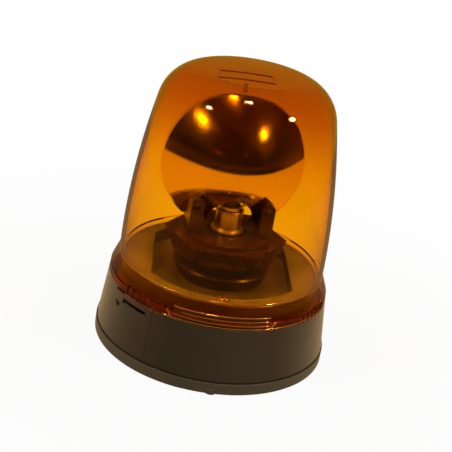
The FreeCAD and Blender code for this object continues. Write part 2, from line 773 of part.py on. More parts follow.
# ---- pedestal, spindle, turntable -----------------------------------------------------------
def pedestal():
    centre = motor_centre()
    low_r = pedestal_r - pedestal_taper
    shoulder_z = pedestal_top_z - pedestal_chamfer
    body = revolved([(0, tray_z), (low_r, tray_z), (pedestal_r, shoulder_z),
                     (pedestal_r - pedestal_chamfer, pedestal_top_z), (0, pedestal_top_z)])
    for height in pedestal_groove_heights:
        z = tray_z + height
        groove_r = low_r + pedestal_taper * height / (shoulder_z - tray_z) - pedestal_groove
        body = body.cut(tube(groove_r, pedestal_r + over, z, z + pedestal_groove))
    bulge = cyl_at(motor_shaft_r + bulge_wall, tray_z, shoulder_z, centre)
    wall_r = low_r - pedestal_groove - pedestal_wall
    hollow = cyl(wall_r, tray_z - over, pedestal_top_z - pedestal_wall)
    post = cyl(spindle_r + post_wall, tray_z, pedestal_top_z)
    studs = [cyl_at(small_head_r + stud_wall, tray_z, pedestal_top_z, polar(pedestal_screw_r, az))
             for az in pedestal_screw_azs]
    shell = fuse([cut(body, [hollow]), post, bulge] + studs)
    cuts = [cyl(spindle_r, tray_z - over, pedestal_top_z + over),
            cyl_at(motor_shaft_r + shaft_hole_gap, tray_z - over, pedestal_top_z + over, centre)]
    for az in pedestal_screw_azs:
        place = polar(pedestal_screw_r, az)
        cuts.append(cyl_at(small_screw_r + hole_clearance, tray_z - over, pedestal_top_z + over, place))
        cuts.append(cyl_at(small_head_r + hole_clearance, pedestal_top_z - small_head - head_sink,
                           pedestal_top_z + over, place))
    for spread in (-motor_screw_spread, motor_screw_spread):
        cuts.append(cyl_at(small_head_r + hole_clearance, tray_z - over, tray_z + small_head + head_sink,
                           side_point(spread)))
    return cut(shell, cuts)


def pedestal_screws():
    z = pedestal_top_z - small_head - head_sink
    length = z - tray_z + deck_wall + pedestal_screw_end
    screw = pan_screw(small_head_r, small_head, small_screw_r, length)
    return Part.makeCompound([moved(screw, polar(pedestal_screw_r, az, z))
                              for az in pedestal_screw_azs])


def spindle():
    body = tube(spindle_bore_r, spindle_r, tray_z - deck_wall, insulator_z)
    groove = tube(spindle_r - clip_groove, spindle_r + over, clip_z, clip_z + clip_thickness)
    return body.cut(groove)


def thrust_washer():
    return tube(spindle_r + washer_fit, washer_r, pedestal_top_z, pedestal_top_z + washer_thickness)


def retaining_clip():
    ring = tube(spindle_r - clip_groove, clip_r, clip_z, clip_z + clip_thickness)
    half = spindle_r * clip_mouth
    gap = box(0, clip_r + over, -half, half, clip_z - over, clip_z + clip_thickness + over)
    return ring.cut(turned(gap, 90))


def bearing_bush():
    bore = spindle_r + bush_clearance
    return tube(bore, bore + bush_wall, hub_bottom_z, turntable_top_z)


def hexagon(corner_r, z):
    points = [polar(corner_r, turntable_corner_az + 60 * k, z) for k in range(7)]
    return Part.makePolygon(points)


def hex_frustum(r0, z0, r1, z1):
    return Part.makeLoft([hexagon(r0, z0), hexagon(r1, z1)], True, True)


def turntable():
    z1 = turntable_top_z
    z0 = z1 - turntable_height
    low_r = turntable_corner_r - turntable_taper
    body = hex_frustum(low_r, z0, turntable_corner_r, z1)
    wall = turntable_rim_wall / math.cos(math.radians(30))
    hollow = hex_frustum(low_r - wall, z0 - over, turntable_corner_r - wall, z1 - turntable_plate)
    hub = cyl(hub_r, hub_bottom_z, z1)
    flange = tube(turntable_flange_r - turntable_flange_width, turntable_flange_r,
                  z0 - turntable_flange_drop, z0 + over)
    shell = fuse([body.cut(hollow), flange, hub])
    cuts = [cyl(spindle_r + bush_clearance + bush_wall, hub_bottom_z - over, z1 + over)]
    cuts += [cyl_at(small_screw_r, z1 - turntable_plate - over, z1 + over, bracket_screw_place(s))
             for s in (-1, 1)]
    return cut(shell, cuts)


# ---- lamp holder and bulb -------------------------------------------------------------------
def holder_insulator():
    stem_z = insulator_z - insulator_stem
    body = fuse([cyl(insulator_r, insulator_z, holder_z), cyl(spindle_bore_r, stem_z, insulator_z)])
    return cut(body, [cyl(pocket_r, stem_z + insulator_floor, holder_z + over), cyl(lead_r, stem_z - over, holder_z)])


def bayonet_slots():
    """Two J-shaped slots: down from the rim, across, and up into the seat that holds the pin."""
    r0, r1 = bulb_cap_r - over, holder_r + holder_rim_r + over
    half = math.degrees((bulb_pin_r + slot_clearance) / holder_r)
    low = pin_z - bulb_travel - bulb_pin_r - slot_clearance
    seat_top = pin_z + bulb_pin_r + slot_clearance
    run_top = pin_z - bulb_travel + bulb_pin_r + slot_clearance
    cuts = []
    for az in (90, 270):
        entry = az - 4 * half
        cuts += [sector(r0, r1, low, seat_top, az - half, az + half),
                 sector(r0, r1, low, run_top, entry - half, az + half),
                 sector(r0, r1, low, holder_top_z + over, entry - half, entry + half)]
    return cuts


def lamp_holder():
    inner_r = holder_r - holder_wall
    foot_z = holder_z + holder_foot_height
    body = revolved([(inner_r, holder_z), (holder_foot_r, holder_z),
                     (holder_foot_r, holder_z + holder_foot_height * 0.6), (holder_r, foot_z + holder_flare),
                     (holder_r, holder_top_z), (inner_r, holder_top_z)])
    roll = Part.makeTorus(holder_r - holder_wall / 2 + holder_roll_out, holder_rim_r, V(0, 0, holder_top_z))
    return cut(fuse([body, roll.cut(cyl(inner_r, holder_z, holder_top_z + holder_rim_r + over))]), bayonet_slots())


def bulb_cap():
    cap = cyl(bulb_cap_r, cap_z, cap_z + bulb_cap_height)
    tip = Part.makeCone(bulb_tip_r, bulb_tip_r * 0.7, bulb_tip_height + glass_fit,
                        V(0, 0, cap_z + glass_fit), V(0, 0, -1))
    half = bulb_pin_span / 2
    pins = Part.makeCylinder(bulb_pin_r, 2 * half, V(-half, 0, pin_z), V(1, 0, 0))
    pins = pins.cut(cyl(bulb_cap_r - bulb_wall / 2, cap_z, cap_z + bulb_cap_height))
    hollow = cyl(bulb_cap_r - bulb_wall, cap_z + cap_floor, cap_z + bulb_cap_height + over)
    return fuse([cap.cut(hollow), tip, pins])


def glass_outline(inset, z0):
    """Neck, swell and domed top of the bulb's glass, moved in by inset."""
    top = cap_z + bulb_cap_height + bulb_glass_height
    ball_z = top - bulb_glass_r
    neck_r = bulb_cap_r - bulb_wall - glass_fit - inset
    ball_r = bulb_glass_r - inset
    neck_z = cap_z + bulb_cap_height + neck_gap
    shoulder = V(ball_r, 0, neck_z + bulb_glass_r - neck_r)
    mid = V(ball_r - (ball_r - neck_r) * 0.3, 0, neck_z + (bulb_glass_r - neck_r) * 0.38)
    return [Part.makeLine(V(neck_r, 0, z0), V(neck_r, 0, neck_z)),
            Part.Arc(V(neck_r, 0, neck_z), mid, shoulder).toShape(),
            Part.makeLine(shoulder, V(ball_r, 0, ball_z)),
            arc_edge((0, ball_z), ball_r, 0, 90)], top - inset


def bulb_glass():
    z0 = cap_z + cap_floor + glass_fit
    outer, outer_top = glass_outline(0, z0)
    inner, inner_top = glass_outline(bulb_wall, z0)
    r_out = bulb_cap_r - bulb_wall - glass_fit
    closing = [Part.makeLine(V(r_out - bulb_wall, 0, z0), V(r_out, 0, z0)),
               Part.makeLine(V(0, 0, inner_top), V(0, 0, outer_top))]
    return spun(outer + inner + closing)


def bulb_filament():
    """Glass stem, two support wires and the straight coiled filament between them."""
    half = filament_length / 2
    coil = Part.makeCylinder(filament_r, filament_length, V(-half, 0, focus_z), V(1, 0, 0))
    wires = [cyl(lead_wire_r, cap_z + bulb_cap_height, focus_z, x, 0) for x in (-half, half)]
    stem_z = cap_z + cap_floor + stem_start
    stem = Part.makeCone(stem_r, half + stem_r / 5, stem_height, V(0, 0, stem_z), UP)
    return fuse([coil, stem] + wires)


def contact_plunger():
    top = cap_z - bulb_tip_height - contact_gap
    head = cyl(plunger_r, top - plunger_head, top)
    stem = cyl(plunger_stem_r, insulator_z - plunger_stem_drop, top)
    return fuse([head, stem])


def contact_spring():
    z0 = insulator_z - insulator_stem + insulator_floor + spring_wire_r + coil_gap
    z1 = cap_z - bulb_tip_height - contact_gap - plunger_head - spring_wire_r - coil_gap
    pitch = (z1 - z0) / spring_turns
    helix = Part.makeHelix(pitch, z1 - z0, spring_r)
    helix.translate(V(0, 0, z0))
    section = Part.Wire(Part.Circle(V(spring_r, 0, z0), V(0, 1, 0), spring_wire_r).toShape())
    return Part.Wire(helix.Edges).makePipeShell([section], True, True)


# ---- reflector ------------------------------------------------------------------------------
def rim_depth():
    """How far the rim's plane lies behind the focus."""
    return reflector_rim_r ** 2 / (4 * reflector_focal) - reflector_focal


def bowl_solid(inset, reach):
    """The paraboloid, filled up to its mouth and on by reach: its vertex faces the front."""
    vertex = V(0, inset - reflector_focal, 0)
    rim = V(reflector_rim_r, rim_depth() + inset, 0)
    parabola = Part.BezierCurve()
    parabola.setPoles([vertex, V(reflector_rim_r / 2, vertex.y, 0), rim])
    mouth_y = rim.y + reach
    corners = [rim, V(rim.x, mouth_y, 0), V(0, mouth_y, 0), vertex]
    edges = [Part.makeLine(a, b) for a, b in zip(corners, corners[1:]) if a != b]
    face = Part.Face(Part.Wire(Part.__sortEdges__([parabola.toShape()] + edges)))
    solid = face.revolve(V(0, 0, 0), V(0, 1, 0), 360)
    return moved(solid, V(0, 0, focus_z))


def bowl_depth(x, z):
    """Where the bowl's back surface lies on Y at a place across and above the turntable."""
    return (x * x + (z - focus_z) ** 2) / (4 * reflector_focal) - reflector_focal


def lip_ring():
    """The turned-out rim of the bowl."""
    along = V(0, 1, 0)
    outer = Part.makeCylinder(reflector_rim_r + reflector_lip, reflector_lip,
                              V(0, rim_depth(), focus_z), along)
    inner = Part.makeCylinder(reflector_rim_r - reflector_lip, 3 * reflector_lip,
                              V(0, rim_depth() - reflector_lip, focus_z), along)
    return outer.cut(inner)


def reflector():
    shell = bowl_solid(0, 0).cut(bowl_solid(reflector_wall, reflector_wall))
    shell = fuse([shell, lip_ring()])
    low = turntable_top_z + reflector_lift
    big = 2 * reflector_rim_r
    cuts = [cyl(bulb_glass_r + reflector_hole_gap, turntable_top_z, focus_z),
            box(-big, big, -big, big, low - big, low)]
    z = turntable_top_z + arm_rivet_height
    for x in (-arm_spread, arm_spread):
        cuts.append(Part.makeCylinder(rivet_r, 2 * big, V(x, -big, z), V(0, 1, 0)))
    return turned(cut(shell, cuts), reflector_az)


def bracket_screw_place(side):
    return polar(bracket_screw_spread, reflector_az + 90 - side * 90)


def reflector_bracket():
    """A ring that screws to the turntable, with two arms cut to the back of the bowl."""
    z0 = turntable_top_z
    top = z0 + arm_top
    ring = tube(bracket_ring_inner_r, bracket_ring_r, z0, z0 + bracket_plate)
    seat = bowl_solid(-arm_seat_gap, reflector_wall)
    arms = []
    for x in (-arm_spread, arm_spread):
        half = arm_width / 2
        back = bowl_depth(abs(x) + half, z0 + reflector_lift) + arm_heel
        arm = box(x - half, x + half, -arm_front, back, z0, top)
        step = box(x - half - over, x + half + over, 0, back + over,
                   z0 + bracket_plate, z0 + reflector_lift - arm_heel)
        crown = Part.makeCylinder(half, 2 * arm_front + back,
                                  V(x, -arm_front - over, top - half), V(0, 1, 0))
        corner = box(x - half, x + half, -arm_front - over, back + over,
                     top - half, top + over).cut(crown)
        arms.append(cut(arm, [step, corner]).cut(seat))
    body = fuse([ring] + arms)
    z = z0 + arm_rivet_height
    cuts = [Part.makeCylinder(rivet_r, 4 * arm_front, V(x, -2 * arm_front, z), V(0, 1, 0))
            for x in (-arm_spread, arm_spread)]
    body = turned(cut(body, cuts), reflector_az)
    holes = [cyl_at(small_screw_r + hole_clearance, z0 - over, z0 + bracket_plate + over,
                    bracket_screw_place(s)) for s in (-1, 1)]
    return cut(body, holes)


def bracket_screws():
    z = turntable_top_z + bracket_plate
    length = bracket_plate + turntable_plate - thread_end_gap
    screw = pan_screw(small_head_r, small_head, small_screw_r, length)
    return Part.makeCompound([moved(screw, bracket_screw_place(s) + V(0, 0, z))
                              for s in (-1, 1)])


def reflector_rivets():
    """Rivets through the arms and the bowl, headed at both ends."""
    z = turntable_top_z + arm_rivet_height
    pieces = []
    for x in (-arm_spread, arm_spread):
        inside = bowl_depth(x, z) + reflector_wall + rivet_tail_stand
        length = inside + arm_front
        shank = Part.makeCylinder(rivet_r, length, V(x, -arm_front, z), V(0, 1, 0))
        head = Part.makeCone(rivet_head_r, rivet_head_r * 0.6, rivet_head,
                             V(x, -arm_front, z), V(0, -over, 0))
        tail = Part.makeCylinder(rivet_head_r * 0.8, rivet_tail, V(x, inside, z), V(0, 1, 0))
        pieces.append(fuse([shank, head, tail]))
    return turned(Part.makeCompound(pieces), reflector_az)


# ---- motor and wiring -----------------------------------------------------------------------
def motor_top():
    return tray_z - deck_wall


def motor_body():
    top = motor_top()
    can = cyl_at(motor_r, top - motor_length, top, motor_centre())
    can = can.makeFillet(motor_round, [edge_at(can, top)])
    bore = cyl_at(motor_shaft_r + motor_shaft_gap, top - motor_length + motor_floor, top + over,
                  motor_centre())
    holes = [cyl_at(small_screw_r, top - motor_screw_depth, top + over, side_point(s))
             for s in (-motor_screw_spread, motor_screw_spread)]
    return cut(can, [bore] + holes)


def motor_end_cap():
    z1 = motor_top() - motor_length
    return cyl_at(motor_r - motor_cap_inset, z1 - motor_cap_height, z1, motor_centre())


def motor_terminals():
    """Two brass tabs on the end cap, facing the terminal block."""
    c = motor_centre()
    z1 = motor_top() - motor_length - motor_cap_height
    x = c.x - motor_r + motor_cap_inset
    half, side, thick = tab_size
    tabs = [box(x - half, x + half, c.y + s - side, c.y + s + side, z1 - thick, z1)
            for s in (-tab_spread, tab_spread)]
    return Part.makeCompound(tabs)


def motor_shaft():
    z0 = motor_top() - motor_length + motor_floor + motor_shaft_end_gap
    z1 = gear_z + gear_width + pinion_stand + motor_shaft_stand
    return cyl_at(motor_shaft_r, z0, z1, motor_centre())


def motor_screws():
    length = deck_wall + motor_screw_depth - screw_end_gap / 5
    screw = pan_screw(small_head_r, small_head, small_screw_r, length)
    return Part.makeCompound([moved(screw, side_point(s) + V(0, 0, tray_z))
                              for s in (-motor_screw_spread, motor_screw_spread)])


def terminal_block_body():
    w, d, h = terminal_block
    x = terminal_block_x
    body = box(x - w / 2, x + w / 2, -d / 2, d / 2, floor_top_z, floor_top_z + h)
    top = floor_top_z + h
    wells = [cyl(terminal_screw_r + terminal_well_gap, top - terminal_well, top + over, x, y)
             for y in (-terminal_pitch, 0, terminal_pitch)]
    return cut(body, wells)


def terminal_screws():
    z = floor_top_z + terminal_block[2] - terminal_well
    top = z + terminal_screw_head
    width, depth = terminal_slot
    screws = []
    for y in (-terminal_pitch, 0, terminal_pitch):
        head = cyl(terminal_screw_r, z, top, terminal_block_x, y)
        slot = box(terminal_block_x - terminal_screw_r, terminal_block_x + terminal_screw_r,
                   y - width / 2, y + width / 2, top - depth, top + over)
        screws.append(head.cut(slot))
    return Part.makeCompound(screws)


def run_tube(points, radius, bend):
    """A round lead along straight runs joined by one tangent arc at each inner point."""
    edges = []
    start = points[0]
    for before, at, after in zip(points, points[1:], points[2:]):
        u = (before - at).normalize()
        w = (after - at).normalize()
        half = u.getAngle(w) / 2
        back = bend / math.tan(half)
        p0, p1 = at + u * back, at + w * back
        middle = at + (u + w).normalize() * (bend / math.sin(half) - bend)
        edges += [Part.LineSegment(start, p0).toShape(), Part.Arc(p0, middle, p1).toShape()]
        start = p1
    edges.append(Part.LineSegment(start, points[-1]).toShape())
    first = edges[0]
    direction = (points[1] - points[0]).normalize()
    section = Part.Wire(Part.Circle(first.Vertexes[0].Point, direction, radius).toShape())
    return Part.Wire(edges).makePipeShell([section], True, True)


def lamp_lead():
    """From the lamp holder down the hollow spindle to the middle terminal."""
    z0 = insulator_z - insulator_stem
    side = terminal_block_x + terminal_block[0] / 2
    level = floor_top_z + terminal_block[2] * 0.5
    return run_tube([V(0, 0, z0), V(0, 0, level), V(side, 0, level)], lead_r, lead_bend)


def motor_leads():
    """From the motor's tabs across the floor to the outer terminal."""
    c = motor_centre()
    level = motor_top() - motor_length - motor_cap_height - tab_size[2] - lead_r
    block_y = terminal_block[1] / 2
    pieces = []
    for s in (-tab_spread, tab_spread):
        start = V(c.x - motor_r, c.y + s, level)
        corner = V(terminal_block_x + s * lead_shift, c.y + s, level)
        end = V(corner.x, block_y, level)
        pieces.append(run_tube([start, corner, end], lead_r, motor_lead_bend))
    return Part.makeCompound(pieces)


PARTS = {
    "foot_gasket": foot_gasket,
    "base_housing": base_housing,
    "threaded_inserts": threaded_inserts,
    "cable_grommet": cable_grommet,
    "inner_deck": inner_deck,
    "deck_screws": deck_screws,
    "lens_seal": lens_seal,
    "lens_dome": lens_dome,
    "drive_gear": drive_gear,
    "motor_pinion": pinion,
    "gear_pedestal": pedestal,
    "pedestal_screws": pedestal_screws,
    "spindle": spindle,
    "thrust_washer": thrust_washer,
    "retaining_clip": retaining_clip,
    "bearing_bush": bearing_bush,
    "turntable": turntable,
    "holder_insulator": holder_insulator,
    "lamp_holder": lamp_holder,
    "bulb_cap": bulb_cap,
    "bulb_glass": bulb_glass,
    "bulb_filament": bulb_filament,
    "contact_plunger": contact_plunger,
    "contact_spring": contact_spring,
    "reflector": reflector,
    "reflector_bracket": reflector_bracket,
    "bracket_screws": bracket_screws,
    "reflector_rivets": reflector_rivets,
    "motor_body": motor_body,
    "motor_end_cap": motor_end_cap,
    "motor_terminals": motor_terminals,
    "motor_shaft": motor_shaft,
    "motor_screws": motor_screws,
    "terminal_block": terminal_block_body,
    "terminal_screws": terminal_screws,
    "lamp_lead": lamp_lead,
    "motor_leads": motor_leads,
}

os.makedirs("parts", exist_ok=True)
for part_name, build in PARTS.items():
    save(part_name, build())
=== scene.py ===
"""Looks of the rotating beacon: amber lens, mirror-bright reflector, dark moulded plastics."""
import json
import math

import bmesh
import bpy
from mathutils import Matrix, Vector


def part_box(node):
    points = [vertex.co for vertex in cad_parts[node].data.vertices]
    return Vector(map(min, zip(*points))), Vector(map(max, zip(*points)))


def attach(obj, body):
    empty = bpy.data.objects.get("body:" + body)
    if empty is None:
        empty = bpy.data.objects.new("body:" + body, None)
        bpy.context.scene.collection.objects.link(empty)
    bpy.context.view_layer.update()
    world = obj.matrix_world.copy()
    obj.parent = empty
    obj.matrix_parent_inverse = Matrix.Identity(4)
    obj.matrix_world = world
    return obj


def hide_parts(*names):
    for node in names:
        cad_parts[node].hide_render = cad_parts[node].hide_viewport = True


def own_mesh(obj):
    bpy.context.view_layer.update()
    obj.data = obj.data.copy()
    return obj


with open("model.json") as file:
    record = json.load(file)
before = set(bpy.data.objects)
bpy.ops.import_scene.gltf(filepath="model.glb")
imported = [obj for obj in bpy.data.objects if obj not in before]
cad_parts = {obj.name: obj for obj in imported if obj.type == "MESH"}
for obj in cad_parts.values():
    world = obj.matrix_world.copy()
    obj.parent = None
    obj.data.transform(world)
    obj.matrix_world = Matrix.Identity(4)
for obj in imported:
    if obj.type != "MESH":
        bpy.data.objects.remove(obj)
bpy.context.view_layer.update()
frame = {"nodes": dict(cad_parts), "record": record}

WHITE = (1.0, 1.0, 1.0)
MM = 0.001

# ---- places on the object, in metres --------------------------------------------------------
DECK_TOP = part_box("inner_deck")[1][2] - 0.0014      # the box's top is a rim round a hole
LENS_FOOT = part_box("base_housing")[1][2] + 0.0003   # a running gap above the housing's rim
SKIRT_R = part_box("lens_dome")[1][0]
LOW_WALL, CROWN = 0.110, 0.195      # heights between which the lens's tint deepens
SKIRT_TOP, WALL_FOOT = 0.050, 0.064     # heights between which the skirt's tint fades
DECK_EDGE = (0.0640, 0.0690)        # distances from the axis between which the deck darkens with painted shade
DECK_MIDDLE = (0.038, 0.058)        # and between which the painted shadow over its middle ends

# ---- camera ---------------------------------------------------------------------------------
CAMERA_ELEVATION = 22.904
CAMERA_AZIMUTH = -5.5
CAMERA_ROLL = 9.867
CAMERA_TARGET = (-0.000717, 0.000069, 0.08408)
CAMERA_DISTANCE = 0.8
CAMERA_LENS = 93.93


def add_camera():
    """A little above the front, with the picture turned sideways."""
    elevation = math.radians(CAMERA_ELEVATION)
    azimuth = math.radians(CAMERA_AZIMUTH)
    roll = math.radians(CAMERA_ROLL)
    back = Vector((math.sin(azimuth) * math.cos(elevation),
                   -math.cos(azimuth) * math.cos(elevation), math.sin(elevation)))
    right = Vector((math.cos(azimuth), math.sin(azimuth), 0.0))
    up = back.cross(right)
    x = math.cos(roll) * right + math.sin(roll) * up
    y = -math.sin(roll) * right + math.cos(roll) * up
    data = bpy.data.cameras.new("camera")
    data.sensor_width = 36.0
    data.lens = CAMERA_LENS
    data.clip_start = 0.01
    cam = bpy.data.objects.new("camera", data)
    bpy.context.scene.collection.objects.link(cam)
    turn = Matrix((x, y, back)).transposed().to_4x4()
    place = Vector(CAMERA_TARGET) + CAMERA_DISTANCE * back
    cam.matrix_world = Matrix.Translation(place) @ turn
    bpy.context.scene.camera = cam


# ---- node helpers ---------------------------------------------------------------------------
class Nodes:
    """A node tree, with short calls for what the looks below need."""

    def __init__(self, tree, output):
        self.tree = tree
        self.tree.nodes.clear()
        self.out = self.node(output)

    def node(self, kind, **values):
        made = self.tree.nodes.new(kind)
        for key, value in values.items():
            setattr(made, key, value)
        return made

    def link(self, a, b):
        self.tree.links.new(a, b)

    def coords(self, kind="Object"):
        return self.node("ShaderNodeTexCoord").outputs[kind]

    def noise(self, scale, detail=3.0, stretch=None):
        tex = self.node("ShaderNodeTexNoise")
        tex.inputs["Scale"].default_value = scale
        tex.inputs["Detail"].default_value = detail
        vector = self.coords()
        if stretch:
            mapping = self.node("ShaderNodeMapping")
            mapping.inputs["Scale"].default_value = stretch
            self.link(vector, mapping.inputs["Vector"])
            vector = mapping.outputs["Vector"]
        self.link(vector, tex.inputs["Vector"])
        return tex.outputs["Fac"]

    def spread(self, value, low, high, start=0.3, end=0.7):
        """low where value is start, high where it is end, and straight in between."""
        made = self.node("ShaderNodeMapRange")
        made.inputs["From Min"].default_value = start
        made.inputs["From Max"].default_value = end
        made.inputs["To Min"].default_value = low
        made.inputs["To Max"].default_value = high
        self.link(value, made.inputs["Value"])
        return made.outputs["Result"]

    def smooth(self, value, start, end):
        """0 where value is below start, 1 where it is above end, and smooth in between."""
        made = self.node("ShaderNodeMapRange", interpolation_type="SMOOTHSTEP")
        made.inputs["From Min"].default_value = start
        made.inputs["From Max"].default_value = end
        self.link(value, made.inputs["Value"])
        return made.outputs["Result"]

    def mix(self, value, a, b):
        made = self.node("ShaderNodeMix", data_type="RGBA")
        made.inputs[6].default_value = (*a, 1.0)
        made.inputs[7].default_value = (*b, 1.0)
        self.link(value, made.inputs[0])
        return made.outputs[2]

    def times(self, a, b):
        """Two colours multiplied."""
        made = self.node("ShaderNodeMix", data_type="RGBA", blend_type="MULTIPLY")
        made.inputs[0].default_value = 1.0
        self.link(a, made.inputs[6])
        self.link(b, made.inputs[7])
        return made.outputs[2]

    def bump(self, value, strength, distance):
        made = self.node("ShaderNodeBump")
        made.inputs["Strength"].default_value = strength
        made.inputs["Distance"].default_value = distance
        self.link(value, made.inputs["Height"])
        return made.outputs["Normal"]

    def axis_share(self, axis, start, end, kind="Object"):
        """0 below one place along an axis and 1 above another."""
        parts = self.node("ShaderNodeSeparateXYZ")
        self.link(self.coords(kind), parts.inputs[0])
        return self.smooth(parts.outputs[axis], start, end)

    def length(self, vector):
        made = self.node("ShaderNodeVectorMath", operation="LENGTH")
        self.link(vector, made.inputs[0])
        return made.outputs["Value"]

    def radius_share(self, start, end):
        """0 inside one distance from the object's axis and 1 outside another."""
        flat = self.node("ShaderNodeVectorMath", operation="MULTIPLY")
        flat.inputs[1].default_value = (1.0, 1.0, 0.0)
        self.link(self.coords(), flat.inputs[0])
        return self.smooth(self.length(flat.outputs[0]), start, end)

    def path(self, name):
        return self.node("ShaderNodeLightPath").outputs[name]

    def compare(self, value, operation, limit):
        made = self.node("ShaderNodeMath", operation=operation)
        made.inputs[1].default_value = limit
        self.link(value, made.inputs[0])
        return made.outputs[0]

    def straight_ray(self):
        """1 for what the camera sees directly or straight through the lens, 0 after a bounce."""
        total = self.node("ShaderNodeMath", operation="ADD")
        self.link(self.path("Glossy Depth"), total.inputs[0])
        self.link(self.path("Diffuse Depth"), total.inputs[1])
        return self.compare(total.outputs[0], "LESS_THAN", 0.5)

    def past_one_wall(self):
        """1 for a ray that has gone through more surfaces than one wall of the lens has."""
        return self.compare(self.path("Transmission Depth"), "GREATER_THAN", 2.5)

    def principled(self, **values):
        made = self.node("ShaderNodeBsdfPrincipled")
        for key, value in values.items():
            made.inputs[key.replace("_", " ")].default_value = value
        return made

    def surface(self, shader):
        self.link(shader.outputs[0], self.out.inputs["Surface"])

    def two_surfaces(self, share, a, b):
        both = self.node("ShaderNodeMixShader")
        self.link(share, both.inputs[0])
        self.link(a.outputs[0], both.inputs[1])
        self.link(b.outputs[0], both.inputs[2])
        self.surface(both)


class Shader(Nodes):
    """The node tree of a new material."""

    def __init__(self, name):
        self.material = bpy.data.materials.new(name)
        self.material.use_nodes = True
        super().__init__(self.material.node_tree, "ShaderNodeOutputMaterial")


# ---- materials ------------------------------------------------------------------------------
def moulded(name, dark, light, rough, grain, grain_depth, sheen=0.0, specular=0.5, tint=None):
    """Moulded plastic or rubber: cloudy colour, a fine grain and uneven gloss. tint, if there is
    one, takes the shader and gives a colour to multiply by, such as the deck's painted shade."""
    s = Shader(name)
    p = s.principled(Specular_IOR_Level=specular, Sheen_Weight=sheen, Sheen_Roughness=0.45)
    p.inputs["Sheen Tint"].default_value = (1.0, 0.73, 0.38, 1.0)
    p.inputs["Specular Tint"].default_value = (1.0, 0.80, 0.54, 1.0)
    cloud = s.mix(s.spread(s.noise(18.0, 4.0), 0.0, 1.0), dark, light)
    s.link(s.times(tint(s), cloud) if tint else cloud, p.inputs["Base Color"])
    s.link(s.spread(s.noise(60.0, 5.0), rough - 0.05, rough + 0.06), p.inputs["Roughness"])
    s.link(s.bump(s.noise(grain, 2.0), 0.35, grain_depth), p.inputs["Normal"])
    s.surface(p)
    return s.material


def deck_painted_shade(s):
    """Painted shade on the deck: darker at its edge, a painted shadow over its middle, and dimmer
    where it shows in the bowl, as a painted darkening of its reflection.
    """
    edge = s.mix(s.radius_share(*DECK_EDGE), WHITE, (0.26, 0.15, 0.07))
    middle = s.mix(s.radius_share(*DECK_MIDDLE), (0.42, 0.36, 0.36), WHITE)
    mirrored = s.mix(s.path("Glossy Depth"), WHITE, (0.40, 0.30, 0.25))
    return s.times(s.times(edge, mirrored), middle)


def metal(name, dark, light, rough, stretch=None, scratch=900.0, depth=0.00002):
    """Bare or plated metal: fine tool marks and patchy polish."""
    s = Shader(name)
    p = s.principled(Metallic=1.0)
    s.link(s.mix(s.spread(s.noise(90.0, 4.0), 0.0, 1.0), dark, light), p.inputs["Base Color"])
    s.link(s.spread(s.noise(160.0, 4.0), rough * 0.75, rough * 1.35), p.inputs["Roughness"])
    s.link(s.bump(s.noise(scratch, 2.0, stretch), 0.3, depth), p.inputs["Normal"])
    s.surface(p)
    return s.material


def mirror():
    """Vacuum-metallised reflector: nearly perfect, with the faintest ripple."""
    s = Shader("reflector_mirror")
    p = s.principled(Metallic=1.0)
    s.link(s.mix(s.spread(s.noise(25.0, 2.0), 0.0, 1.0), (0.90, 0.89, 0.87), (0.96, 0.95, 0.93)),
           p.inputs["Base Color"])
    s.link(s.spread(s.noise(70.0, 3.0), 0.09, 0.13), p.inputs["Roughness"])
    s.link(s.bump(s.noise(45.0, 1.0), 0.10, 0.0002), p.inputs["Normal"])
    s.surface(p)
    return s.material


def clear_surface(s, p, shade):
    """Lets the lamps' light through a clear material, with shade as the colour it takes on."""
    clear = s.node("ShaderNodeBsdfTransparent")
    clear.inputs["Color"].default_value = (*shade, 1.0)
    s.two_surfaces(s.path("Is Shadow Ray"), p, clear)


def amber():
    """Clear amber moulding: tinted through, so thick and slanting walls are deeper."""
    s = Shader("amber_clear")
    p = s.principled(Transmission_Weight=1.0, IOR=1.43, Specular_IOR_Level=0.3)
    p.inputs["Specular Tint"].default_value = (1.0, 0.66, 0.28, 1.0)
    wall = s.mix(s.axis_share("Z", LOW_WALL, CROWN), (1.0, 0.70, 0.03), (0.60, 0.225, 0.006))
    skirt = s.mix(s.axis_share("Z", SKIRT_TOP, WALL_FOOT), (0.72, 0.50, 0.13), WHITE)
    s.link(s.times(skirt, wall), p.inputs["Base Color"])
    s.link(s.spread(s.noise(40.0, 3.0), 0.0, 0.015), p.inputs["Roughness"])
    s.link(s.bump(s.noise(28.0, 1.0), 0.05, 0.0001), p.inputs["Normal"])
    clear_surface(s, p, (0.98, 0.74, 0.26))
    tint = s.node("ShaderNodeVolumeAbsorption")
    tint.inputs["Color"].default_value = (0.98, 0.62, 0.05, 1.0)
    tint.inputs["Density"].default_value = 170.0
    s.link(tint.outputs[0], s.out.inputs["Volume"])
    return s.material


def amber_glint():
    """Painted glints: a part-metal amber for the beads along the lens's moulded edges, standing
    in for the light that the plastic turns back out there.
    """
    s = Shader("amber_glint")
    p = s.principled(Metallic=0.8)
    s.link(s.mix(s.noise(60.0, 2.0), (0.70, 0.27, 0.02), (0.95, 0.45, 0.06)),
           p.inputs["Base Color"])
    s.link(s.spread(s.noise(90.0, 2.0), 0.10, 0.20), p.inputs["Roughness"])
    s.surface(p)
    return s.material


def bulb_glass():
    """Clear glass with faint waves in its gloss."""
    s = Shader("bulb_clear_glass")
    p = s.principled(Transmission_Weight=1.0, IOR=1.46)
    p.inputs["Base Color"].default_value = (0.97, 0.98, 0.98, 1.0)
    s.link(s.spread(s.noise(50.0, 2.0), 0.0, 0.02), p.inputs["Roughness"])
    clear_surface(s, p, WHITE)
    return s.material


